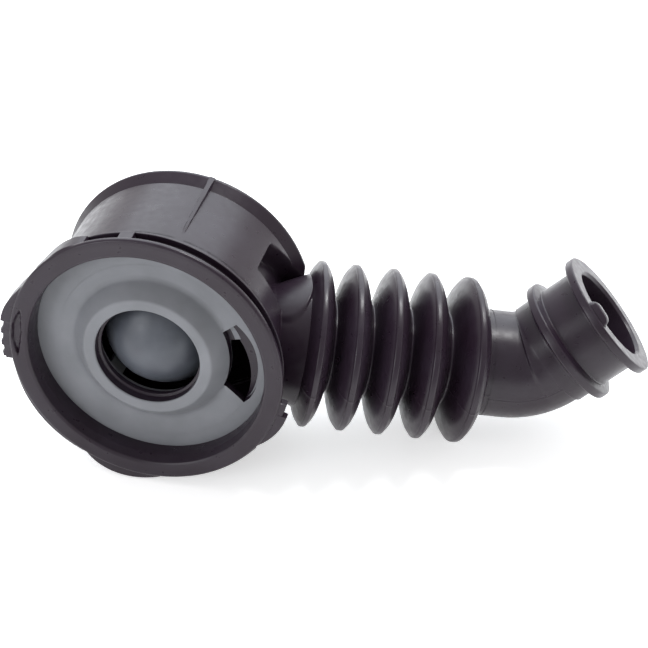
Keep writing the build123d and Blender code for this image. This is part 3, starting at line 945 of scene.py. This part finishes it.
# %% [markdown]
# The float ball rises with the water and closes the nozzle.  It is blow moulded in two
# halves, so a fine parting line runs round it.  A ready-made sphere has no such line;
# a turned half circle can, with a few closer rows where the line dips in.

# %% Float ball
ball_r = 26.0
ball_depth = 32.0
# half a circle is turned: radius r sin(polar), depth ball_depth - r cos(polar)
parting = dict(dent=0.12, width=0.7)
line_rows = [87.5, 88.8, 89.4, 90.6, 91.2]
polar = np.sort(np.concatenate([np.arange(0, 180.1, 3.0), line_rows]))[:, None]
ball_line = ball_r - parting["dent"] * np.exp(-(((polar - 90) / parting["width"]) ** 2))
tilt = np.radians(polar)
# a micron of radius at the poles keeps their quads whole
ball_radius = ball_line * np.sin(tilt) + 1e-3
ball_along = ball_depth - ball_line * np.cos(tilt)
around_ball = np.arange(0, 360, 3.0)[None, :]
ball = grid_object("float_ball_skin", boot_place(ball_radius, around_ball, ball_along))
dress(ball, "ball_plastic", "float_ball")
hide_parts("float_ball")
print("ball", len(ball.data.polygons), "quads")

# %% [markdown]
# The bellows lets the tub shake while the pump stands still.  Each fold is a V of
# rubber with a round crest, and each root between two folds is a narrow U.  An array
# modifier would repeat one fold exactly, but the real ones lean a little and carry the
# mould's parting line, and every fold here rides on a body of its own.  So one flank
# formula makes all the folds, and a small lean is added to each.

# %% Sizes of the bellows
pitch = 16.24
first_crest = 62.22
crest_r = 35.3
crest_flat = 0.5
crest_end = 1.5
crest_drop = 0.9
crest_arc = 0.97
belly = 0.2
belly_skew = 0.25
root_r = 19.6
root_floor = 0.6
root_half = 2.6
root_fillet = 1.6
elbow_r = 22.7
crests = [first_crest + pitch * n for n in range(5)]
roots = [first_crest + pitch * (n - 0.5) for n in range(6)]
tucked_r = elbow_r - 0.2
under_hood = 0.6
ridge_lines = (85.0, 265.0)
ridge = dict(height=0.26, width=0.4)
hose_angles = around(1.25, ridge_lines, 0.5)
print("crests at", np.round(crests, 2), "roots at", np.round(roots, 2))

# %% The profile of a fold


def flank(x):
    """Radius at a distance x from the crest: a flat-topped tip with small round
    shoulders, then a convex flank down to the root, where it turns into a narrow U."""
    round_x = np.clip((x - crest_flat) / (crest_end - crest_flat), 0, 1)
    tip = crest_r - crest_drop * (1 - np.sqrt(1 - round_x**2 * crest_arc))
    t = np.clip((x - crest_end) / (pitch / 2 - root_floor - crest_end), 0, 1.2)
    top = crest_r - crest_drop * (1 - math.sqrt(1 - crest_arc))
    bulge = belly * np.sin(np.pi * t) * (1 - belly_skew * t)
    line = top + (root_r - top) * (t - bulge)
    return np.where(x < crest_end, tip, soft_max(line, root_r + 0 * line, root_fillet))


print("radius at crest and root", flank(np.array([0.0, pitch / 2])).round(2))

# %% The lean of each fold and the parting line
# how far each crest leans along the hose: an even part, then a swing and its angle
leans = ((0.8, 0.8, 30.0), (0, 0, 0), (0, 0, 0), (0, 0.3, -56.4), (0, 3.1, -56.4))


def lean(n, r, angle):
    """Shift along the hose of fold n: (even + swing cos(angle - at)) r / crest_r."""
    even, swing, at = leans[n] if 0 <= n < len(leans) else (0, 0, 0)
    return (even + swing * np.cos(np.radians(angle - at))) * r / crest_r


def ridged(r, angle):
    """The mould's parting line: a fine ridge along the hose on both sides."""
    for line in ridge_lines:
        gap = np.radians(signed(angle - line)) * r
        r = r + ridge["height"] * np.exp(-((gap / ridge["width"]) ** 2))
    return r


print("the last fold leans", lean(4, crest_r, leans[4][2]), "mm at most")

# %% Five folds
# the first fold is steeper towards the boot, to clear its rim when the hose bends, and
# the last one runs out under the elbow's skin
first_steeper = 1.12
fold_half = pitch / 2 - root_half
turn_x = np.sin(np.linspace(0, math.pi / 2, 8)) * (crest_end - crest_flat)
side_x = np.concatenate([[0.0], crest_flat + turn_x])
side_x = np.concatenate([side_x, np.linspace(crest_end, fold_half, 18)[1:]])
fold_x = np.concatenate([-side_x[::-1], side_x[1:]])[:, None]
for n, crest in enumerate(crests):
    steeper = np.where((n == 0) & (fold_x < 0), first_steeper, 1.0)
    r = flank(np.abs(fold_x) * steeper) + 0 * hose_angles
    if n == 4:
        r = np.where(fold_x > 0, np.maximum(r, tucked_r), r)
    run = crest + fold_x + lean(n, r, hose_angles)
    fold = grid_object(
        f"bellows_fold_skin_{n + 1}",
        hose_place(ridged(r, hose_angles), hose_angles, run),
    )
    dress(fold, "rubber", f"fold_{n + 1}")
    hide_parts(f"bellows_fold_{n + 1}")
print("last fold", len(fold.data.polygons), "quads")

# %% [markdown]
# A root does two things at once: it bends like a hinge and stretches like a spring.  A
# piece could blend between two bodies only where one joint lies between them, so each
# root is two halves that meet in its middle, at its ring.  Here both halves are fixed
# in place and ride on no body.

# %% Six roots, each in two halves
for n, root in enumerate(roots):
    before = "boot" if n == 0 else f"fold_{n}"
    after = f"fold_{n + 1}" if n < 5 else "hose_end"
    halves = ((-root_half, 0.0, before, f"waist_{n + 1}", "a"),)
    halves += ((0.0, root_half, f"waist_{n + 1}", after, "b"),)
    for low, high, first, second, tag in halves:
        x = np.linspace(low, high, 12)[:, None]
        r = flank(pitch / 2 - np.abs(x)) + 0 * hose_angles
        if n == 0:
            r = np.minimum(r, hood_radius(root + x, hose_angles) - under_hood)
        if n == 5:
            r = np.where(x > 0, tucked_r, np.maximum(r, tucked_r))
        part = (x + root_half) / (2 * root_half)
        shift = (1 - part) * lean(n - 1, r, hose_angles)
        shift = shift + part * lean(n, r, hose_angles)
        half = grid_object(
            f"bellows_root_skin_{n + 1}{tag}",
            hose_place(ridged(r, hose_angles), hose_angles, root + x + shift),
        )
        dress(half, "rubber")
        ends = [hose_place(0.0, 0.0, root + v) * MM for v in (low, high)]
        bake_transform(half)
        if tag == "a":
            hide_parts(f"waist_band_{n + 1}")
print("roots", len(roots), "each in two halves of", root_half, "mm")

# %% [markdown]
# The elbow turns the hose towards the pump.  It could be bent with a curve modifier,
# but its inside and outside walls then stretch by different amounts and the wall thins.
# Here a ring is carried along a straight run and one arc, its radius the same all the
# way, so the walls stay even.  A soft mitre crease on the outer side and two shallow
# parting lines are added to that radius.

# %% The path of the elbow
elbow_bore = 20.4
elbow_lead = 19.3
bend_r = 24.5
bend_run = crests[-1] + elbow_lead
bend_point = hose_start + hose_way * bend_run
bend_side = square_to(cuff_way, hose_way)
bend_angle = math.acos(float(cuff_way @ hose_way))
bend_axis = np.cross(hose_way, bend_side)


def elbow_place(r, angle, travel):
    """Point at a radius and an angle round the path, `travel` mm from the bend's start;
    the section turns about the bend's axis by travel / bend_r."""
    r, angle, travel = np.broadcast_arrays(r, np.radians(angle), travel)
    straight = np.minimum(travel, 0)
    turn = np.clip(travel, 0, bend_r * bend_angle) / bend_r
    past = np.maximum(travel - bend_r * bend_angle, 0)
    way = np.cos(turn)[..., None] * hose_way + np.sin(turn)[..., None] * bend_side
    out = np.cos(turn)[..., None] * bend_side - np.sin(turn)[..., None] * hose_way
    centre = (
        bend_point
        + straight[..., None] * hose_way
        + bend_r * (bend_side - out)
        + past[..., None] * way
    )
    radial = np.cos(angle)[..., None] * out + np.sin(angle)[..., None] * bend_axis
    return centre + r[..., None] * radial


print("the elbow bends by", round(math.degrees(bend_angle), 1), "degrees")

# %% The elbow's skin
crease = dict(height=0.8, middle=12.5, sway=1.5, side=30.0, width=2.4)
elbow_lines = (100.0, 280.0)
groove = dict(depth=0.22, width=0.8, swell=0.12, spread=2.4)
line_edges = [line + side for line in elbow_lines for side in (-1.0, 0.0, 1.0)]
elbow_angle = around(1.5, line_edges, 0.45)[None, :]
start_travel = roots[-1] + root_half - bend_run
end_travel = bend_r * bend_angle
straight_part = np.linspace(start_travel, 0, 26)
arc_part = np.linspace(0, end_travel, 46)[1:]
travel = np.concatenate([straight_part, arc_part, [end_travel + 0.4]])[:, None]
outer = np.full((len(travel), elbow_angle.size), elbow_r)
from_side = elbow_angle - crease["side"]
crease_at = crease["middle"] - crease["sway"] * np.cos(np.radians(2 * from_side))
past_crease = (travel - crease_at + crease["width"] / 2) / crease["width"]
on_outer_side = smooth(np.cos(np.radians(from_side)) * 1.6)
outer = outer + crease["height"] * smooth(past_crease) * on_outer_side
# a parting line is a narrow groove with a faint swelling on both sides
for line in elbow_lines:
    gap = signed(elbow_angle - line)
    outer -= groove["depth"] * np.exp(-((gap / groove["width"]) ** 2))
    outer += groove["swell"] * np.exp(-((gap / groove["spread"]) ** 2))
# the skin goes out along the outer wall and comes back along the bore
elbow_walls = np.concatenate([outer, np.full(outer.shape, elbow_bore)])
there_and_back = np.concatenate([travel, travel[::-1]])
elbow = grid_object("elbow_skin", elbow_place(elbow_walls, elbow_angle, there_and_back))
dress(elbow, "rubber", "hose_end")
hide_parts("elbow")
print("elbow", len(elbow.data.polygons), "quads")

# %% [markdown]
# The pump cuff is the stiff end that is clamped on the pump's spigot: a round bead as a
# stop for the clamp, a flange to push it home by, and a key on the flange that shows
# which way round it goes.  All of it is one turned section.  The key might be a block
# set on the flange, but moulded rubber has no sharp foot, so it swells out of the
# flange's face like a pillow.

# %% The cuff's section: bead, clamp band, flange and bore
cuff_length = 31.7
grip_r = 23.5
spigot_r = 19.8
cuff_section = rounded(
    [
        (elbow_bore, 0.0, 0),
        (22.9, 0.0, 0),
        (grip_r, 0.0, 0.5),
        (grip_r, 7.1, 0.6),
        (24.6, 7.1, 0.5),
        (27.9, 8.2, 0.9),
        (27.9, 11.8, 0.9),
        (24.6, 12.7, 0.5),
        (grip_r, 12.7, 0.6),
        (grip_r, 27.7, 0.6),
        (26.2, 27.7, 0.4),
        (28.1, 27.9, 1.7),
        (28.1, 31.6, 1.7),
        (27.0, cuff_length, 0.6),
        (20.9, cuff_length, 0.5),
        (spigot_r, cuff_length - 1.25, 0.6),
        (spigot_r, 0.0, 0.2),
        (elbow_bore, 0.0, 0),
    ],
    spacing=0.9,
)
cuff_r, cuff_d = cuff_section[:, :1], cuff_section[:, 1:]
print("cuff section", len(cuff_section), "points, bore", 2 * spigot_r, "mm")

# %% The key on the flange, and the skin
key = dict(angle=309.5, half=13.5, radius=24.0, half_r=3.0, height=3.0, face=0.6)
cuff_angle = around(1.25, [298.0, 326.0], 0.6)[None, :]
# the key is a pillow: 1 - x^4 - y^4 over its half-widths, raised to a root
key_x = signed(cuff_angle - key["angle"]) / key["half"]
key_y = (cuff_r - key["radius"]) / key["half_r"]
pillow = np.sqrt(np.clip(1 - key_x**4 - key_y**4, 0, 1))
on_face = cuff_d > cuff_length - key["face"]
reach = cuff_d + key["height"] * pillow * on_face
radius = np.broadcast_to(cuff_r, reach.shape)
cuff = grid_object("pump_cuff_skin", cuff_place(radius, cuff_angle, reach))
dress(cuff, "rubber", "hose_end")
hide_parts("pump_cuff")
print("cuff", len(cuff.data.polygons), "quads")

# %% [markdown]
# The camera looks down on the tub mouth from the front right, with a long lens, so that
# the mouth, the ball behind the seat and the open end of the cuff are all in view.  It
# could be aimed with a constraint, but a matrix of its own right, up and back
# directions also holds the small turn about its own view.

# %% Camera
camera_at = Vector((0.26813, -0.71096, 0.63969))
view_right = Vector((0.96975, 0.24288, -0.02424)).normalized()
view_up = Vector((-0.13712, 0.62426, 0.76910))
view_up = (view_up - view_right * view_up.dot(view_right)).normalized()
view_back = view_right.cross(view_up)
camera_data = bpy.data.cameras.new("camera")
camera_data.sensor_width = 36.0
camera_data.lens = 133.33
camera = bpy.data.objects.new("camera", camera_data)
aim = Matrix((view_right, view_up, view_back)).transposed().to_4x4()
camera.matrix_world = Matrix.Translation(camera_at) @ aim
bpy.context.scene.collection.objects.link(camera)
bpy.context.scene.camera = camera
print("camera", round(camera_at.length, 2), "m away")

# %% [markdown]
# Black rubber shows little but what it reflects, so the room matters as much as the
# material.  The floor is matt paper that stays white to the camera and in reflections
# by a glow of its own, because more lamps would grey the rubber; to all other rays it
# is plain paper, and the object's shadow stays on it.  From below it is clear, so that
# the underside can be looked at.

# %% Floor
gap_below = 0.0006
floor_mesh = bpy.data.meshes.new("floor")
size, low = 3.0, cad_box[0][2] - gap_below
floor_mesh.from_pydata(
    [(-size, -size, low), (size, -size, low), (size, size, low), (-size, size, low)],
    [],
    [(0, 1, 2, 3)],
)
floor = bpy.data.objects.new("floor", floor_mesh)
bpy.context.scene.collection.objects.link(floor)
print("floor at", round(low / MM, 2), "mm")

# %% Paper
paper = bpy.data.materials.new("paper")
paper.use_nodes = True
paper_tree = paper.node_tree
paper_shader = paper_tree.nodes["Principled BSDF"]
paper_shader.inputs["Base Color"].default_value = (0.95, 0.95, 0.95, 1)
paper_shader.inputs["Roughness"].default_value = 0.9
paper_shader.inputs["Specular IOR Level"].default_value = 0.1
paper_shader.inputs["Emission Color"].default_value = (1, 1, 1, 1)
paper_glow = 0.5
ray = paper_tree.nodes.new("ShaderNodeLightPath")
seen = node(paper_tree, "ShaderNodeMath", operation="MAXIMUM")
paper_tree.links.new(ray.outputs["Is Camera Ray"], seen.inputs[0])
paper_tree.links.new(ray.outputs["Is Glossy Ray"], seen.inputs[1])
shine = mapped(paper_tree, seen.outputs["Value"], 0, 1, 0, paper_glow)
paper_tree.links.new(shine, paper_shader.inputs["Emission Strength"])
clear = paper_tree.nodes.new("ShaderNodeBsdfTransparent")
either = paper_tree.nodes.new("ShaderNodeMixShader")
facing = paper_tree.nodes.new("ShaderNodeNewGeometry")
paper_tree.links.new(facing.outputs["Backfacing"], either.inputs["Fac"])
paper_tree.links.new(paper_shader.outputs["BSDF"], either.inputs[1])
paper_tree.links.new(clear.outputs["BSDF"], either.inputs[2])
surface = paper_tree.nodes["Material Output"].inputs["Surface"]
paper_tree.links.new(either.outputs["Shader"], surface)
floor_mesh.materials.append(paper)
print("paper glows", paper_glow, "to the camera and in reflections")

# %% [markdown]
# Three soft lamps, as in a small studio: a wide cool softbox behind and above draws
# the long light along the drum and the folds, a smaller one at the front left opens the
# mouth, and a small one overhead picks out the crests.  Point lamps would put a hard
# spot on every fold.  The room itself is bright behind the object and dim in front of
# it, which leaves the folds' front flanks dark.

# %% Lamps


def soft_light(name, place, target, size, power, colour=(1, 1, 1)):
    """A round area lamp at `place` that points at `target`."""
    data = bpy.data.lights.new(name, "AREA")
    data.shape, data.size, data.energy, data.color = "DISK", size, power, colour
    light = bpy.data.objects.new(name, data)
    aim = (Vector(target) - Vector(place)).to_track_quat("-Z", "Y")
    light.matrix_world = Matrix.Translation(place) @ aim.to_matrix().to_4x4()
    bpy.context.scene.collection.objects.link(light)


middle = (0.06, 0.04, 0.0)
soft_light("softbox", (-0.1, 1.1, 0.95), middle, 1.9, 19.5, (0.86, 0.94, 1.0))
soft_light("key", (-0.8, -1.1, 0.55), middle, 0.7, 6.2, (0.94, 0.96, 1.0))
soft_light("ceiling", (0.4, 0.5, 1.2), middle, 0.3, 8.0)

# %% Room light
front_glow, back_glow = 0.55, 1.1
scene = bpy.context.scene
scene.view_settings.view_transform = "Standard"
world = bpy.data.worlds.new("studio")
world.use_nodes = True
tree = world.node_tree
heading = tree.nodes.new("ShaderNodeSeparateXYZ")
toward = tree.nodes.new("ShaderNodeTexCoord").outputs["Generated"]
tree.links.new(toward, heading.inputs[0])
glow = mapped(tree, heading.outputs["Y"], -0.5, 0.7, front_glow, back_glow)
tree.links.new(glow, tree.nodes["Background"].inputs["Color"])
scene.world = world
print("room from", front_glow, "in front to", back_glow, "behind")
